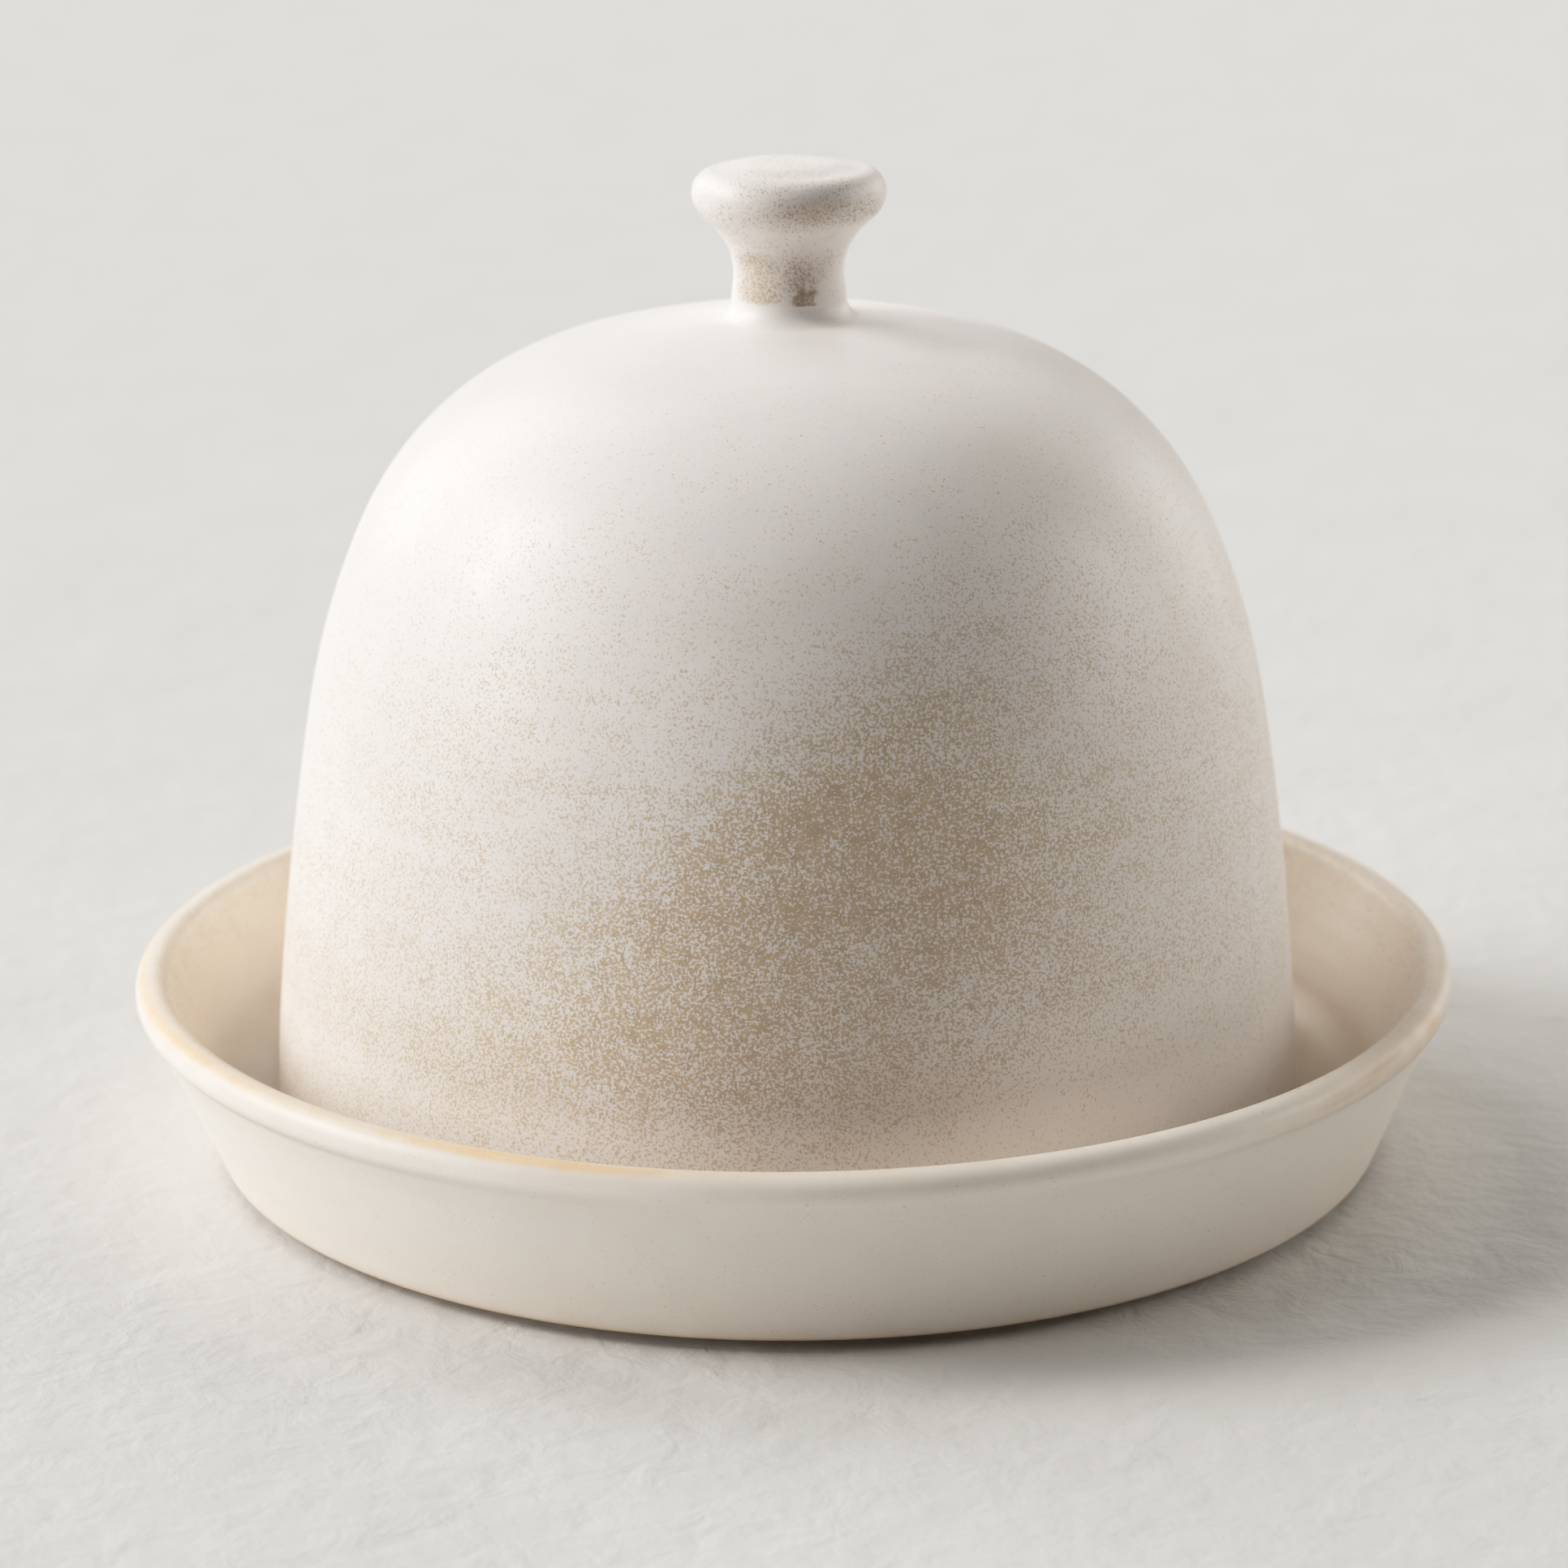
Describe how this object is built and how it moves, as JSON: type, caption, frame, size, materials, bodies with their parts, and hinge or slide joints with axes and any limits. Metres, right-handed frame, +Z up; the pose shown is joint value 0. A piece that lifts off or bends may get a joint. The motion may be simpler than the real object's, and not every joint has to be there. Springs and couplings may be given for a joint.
{
  "type": "covered butter dish",
  "caption": "Shallow round dish with a flared wall and rolled rim, covered by a tall domed lid with a waisted knob on its crown.",
  "frame": {"origin": "centre of the foot ring's underside, on the surface the dish stands on", "axes": "+Z up, along the common axis of dish, dome and knob; X and Y are any two horizontal directions, because every piece is a body of revolution"},
  "size_m": [0.176, 0.176, 0.1322],
  "materials": {
    "dish_glaze": "satin matte, warm cream breaking to tan on the rim",
    "lid_glaze": "satin matte white over a tan speckled body"
  },
  "bodies": {
    "dish": {"dish": "dish_glaze"},
    "lid": {"dome": "lid_glaze", "knob": "lid_glaze"}
  },
  "joints": [
    {"name": "lid_lift", "type": "slide", "parent": "dish", "child": "lid", "axis": [0, 0, 1], "range_m": [0, 0.15]}
  ]
}
